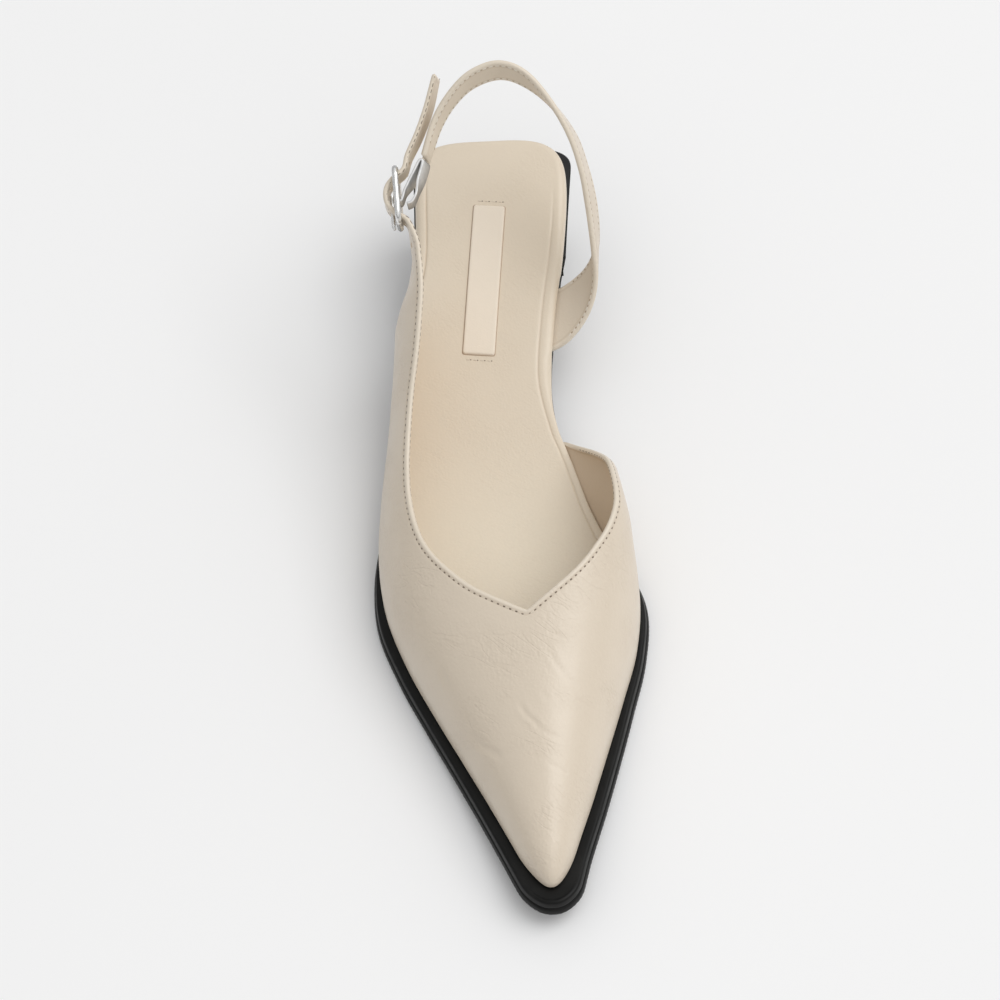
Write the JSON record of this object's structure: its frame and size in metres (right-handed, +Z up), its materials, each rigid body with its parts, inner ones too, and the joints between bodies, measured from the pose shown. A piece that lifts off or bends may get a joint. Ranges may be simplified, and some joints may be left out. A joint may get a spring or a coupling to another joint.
{
  "type": "slingback shoe",
  "caption": "Right pointed slingback shoe with an asymmetric low-cut vamp, closed outer quarter, wide sole edge, block heel and a buckled heel strap.",
  "frame": {"origin": "on the floor, under the middle of the shoe's length and width", "axes": "+Z up, -Y towards the toe, +Y towards the heel, +X towards the inner side of the foot"},
  "size_m": [0.0877, 0.2749, 0.0942],
  "materials": {
    "black_sole": "satin black unit sole",
    "black_heel": "satin black covered heel",
    "insole_leather": "smooth lining leather",
    "label_cream": "pale bare patch",
    "oat_leather": "semi-gloss, fine shrink grain",
    "silver_metal": "polished silver"
  },
  "bodies": {
    "root": {"outsole": "black_sole", "heel_block": "black_heel", "heel_top_piece": "black_sole", "insole": "insole_leather", "insole_label": "label_cream", "upper": "oat_leather", "sling_strap": "oat_leather", "buckle_frame": "silver_metal", "buckle_prong": "silver_metal", "buckle_hook": "silver_metal"}
  },
  "joints": []
}
